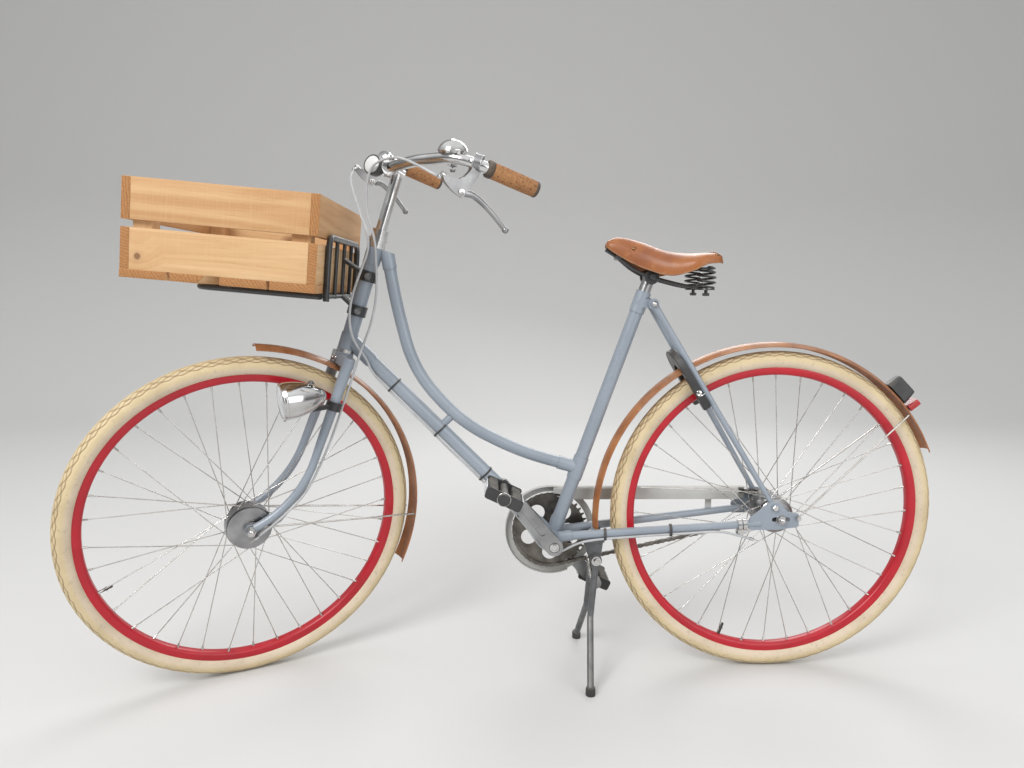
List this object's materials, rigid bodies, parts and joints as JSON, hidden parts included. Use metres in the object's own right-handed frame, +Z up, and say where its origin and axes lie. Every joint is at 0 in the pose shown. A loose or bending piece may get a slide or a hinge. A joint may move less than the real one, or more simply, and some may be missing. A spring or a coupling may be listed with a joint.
{
  "type": "step-through bicycle",
  "caption": "Step-through town bicycle with a swan-neck lugged frame, red rims, cream tyres, leather saddle and a wooden crate on a front carrier.",
  "frame": {"origin": "where the rear tyre meets the ground, in the frame's middle plane", "axes": "+X rearwards along the bicycle, +Y to the rider's right, +Z up"},
  "size_m": [1.782, 0.5302, 1.1372],
  "materials": {
    "frame_paint": "satin blue-grey paint",
    "tyre_cream": "cream rubber with a fine tread",
    "rim_red": "gloss red paint",
    "spoke_steel": "stainless wire",
    "hub_metal": "cast and turned, slightly dull",
    "chrome": "polished",
    "alloy": "satin, worn",
    "guard_tan": "tan, dark underside",
    "black_metal": "satin black",
    "black_plastic": "black",
    "black_rubber": "black",
    "lens_red": "red reflector",
    "lens_white": "white lens",
    "saddle_leather": "honey brown, worn",
    "cork": "cork",
    "crate_wood": "sawn pine",
    "guard_grey": "pale grey paint",
    "chain_steel": "oiled steel",
    "cast_grey": "dark grey casting",
    "cable_grey": "pale grey sleeve"
  },
  "bodies": {
    "frame": {"head_tube": "frame_paint", "headset_cups": "chrome", "top_tube": "frame_paint", "down_tube": "frame_paint", "frame_strut": "frame_paint", "seat_tube": "frame_paint", "bottom_bracket": "frame_paint", "chain_stays": "frame_paint", "seat_stays": "frame_paint", "dropouts": "frame_paint", "rear_axle_nuts": "spoke_steel", "rear_mudguard": "guard_tan", "rear_guard_stays": "spoke_steel", "tail_lamp": "black_plastic", "tail_reflector": "lens_red", "ring_lock": "black_plastic", "seat_post": "alloy", "saddle_frame": "black_metal", "saddle_top": "saddle_leather", "chain": "chain_steel", "chain_guard": "guard_grey", "stand_bracket": "cast_grey", "carrier_platform": "black_metal", "carrier_hoop": "black_metal", "carrier_clamps": "black_metal", "crate_sides": "crate_wood", "crate_ends": "crate_wood", "crate_posts": "crate_wood", "crate_floor": "crate_wood", "rear_brake_cable": "cable_grey"},
    "steering": {"fork": "frame_paint", "front_axle_nuts": "chrome", "brake_plate": "black_metal", "front_mudguard": "guard_tan", "front_guard_stays": "spoke_steel", "headlamp": "chrome", "lamp_bracket": "black_metal", "stem": "chrome", "handlebar": "chrome", "grips": "cork", "brake_levers": "alloy", "bell": "chrome", "bar_lamp": "black_plastic", "lamp_lenses": "lens_white", "front_brake_cable": "cable_grey"},
    "front_wheel": {"front_tyre": "tyre_cream", "front_rim": "rim_red", "front_hub": "hub_metal", "front_spokes": "spoke_steel"},
    "rear_wheel": {"rear_tyre": "tyre_cream", "rear_rim": "rim_red", "rear_hub": "hub_metal", "rear_spokes": "spoke_steel"},
    "cranks": {"crankset": "alloy", "chainring": "chain_steel"},
    "pedal_left": {"pedal_left_cage": "alloy", "pedal_left_rubber": "black_rubber"},
    "pedal_right": {"pedal_right_cage": "alloy", "pedal_right_rubber": "black_rubber"},
    "stand": {"stand_legs": "cast_grey"}
  },
  "joints": [
    {"name": "steering_turn", "type": "hinge", "parent": "frame", "child": "steering", "pos_m": [-1.03163, 0, 0.32012], "axis": [0.3007, 0, 0.9537], "range_deg": [-72.4, 17.6], "deforming": ["rear_brake_cable"]},
    {"name": "front_wheel_spin", "type": "hinge", "parent": "steering", "child": "front_wheel", "pos_m": [-1.1163, -0.04602, 0.34682], "axis": [-0.4389, 0.8878, 0.1384], "continuous": true},
    {"name": "rear_wheel_spin", "type": "hinge", "parent": "frame", "child": "rear_wheel", "pos_m": [0, 0, 0.35], "axis": [0, 1, 0], "continuous": true},
    {"name": "crank_spin", "type": "hinge", "parent": "frame", "child": "cranks", "pos_m": [-0.476, 0, 0.294], "axis": [0, 1, 0], "continuous": true},
    {"name": "pedal_left_spin", "type": "hinge", "parent": "cranks", "child": "pedal_left", "pos_m": [-0.58298, -0.129, 0.42612], "axis": [0, 1, 0], "continuous": true},
    {"name": "pedal_right_spin", "type": "hinge", "parent": "cranks", "child": "pedal_right", "pos_m": [-0.36902, 0.129, 0.16189], "axis": [0, 1, 0], "continuous": true},
    {"name": "stand_fold", "type": "hinge", "parent": "frame", "child": "stand", "pos_m": [-0.383, 0, 0.252], "axis": [0, -1, 0], "range_deg": [0, 88]}
  ]
}
